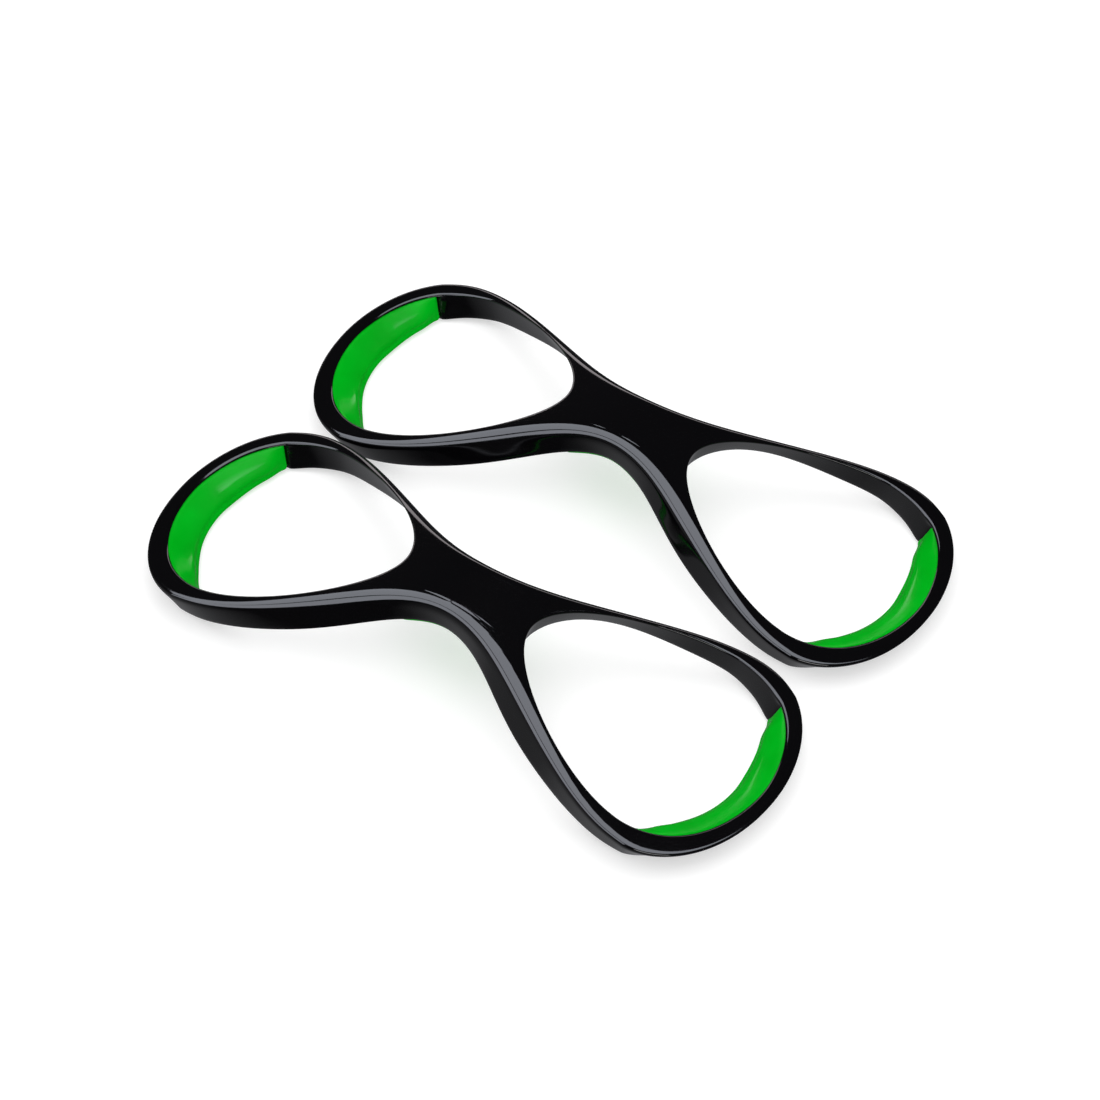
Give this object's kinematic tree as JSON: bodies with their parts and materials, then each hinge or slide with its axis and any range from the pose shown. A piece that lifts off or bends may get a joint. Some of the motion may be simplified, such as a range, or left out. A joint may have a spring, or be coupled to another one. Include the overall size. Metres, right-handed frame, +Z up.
{
  "type": "two-loop hand grips",
  "caption": "Arched figure-eight hand grips with soft pads in the loop ends and under the waist, lying side by side on the floor.",
  "frame": {"origin": "on the resting surface, midway between the two hands", "axes": "+Z up; +X along the hands, to the right; +Y from the front hand to the rear hand"},
  "size_m": [0.3312, 0.248, 0.0474],
  "materials": {
    "frame_plastic": "high gloss black moulded plastic",
    "pad_rubber": "satin green soft-touch rubber"
  },
  "bodies": {
    "front_hand": {"front_frame": "frame_plastic", "front_left_grip": "pad_rubber", "front_right_grip": "pad_rubber", "front_palm_pad": "pad_rubber"},
    "rear_hand": {"rear_frame": "frame_plastic", "rear_left_grip": "pad_rubber", "rear_right_grip": "pad_rubber", "rear_palm_pad": "pad_rubber"}
  },
  "joints": [
    {"name": "rear_hand_lift", "type": "slide", "parent": "front_hand", "child": "rear_hand", "axis": [0, 0, 1], "range_m": [0, 0.12]}
  ]
}
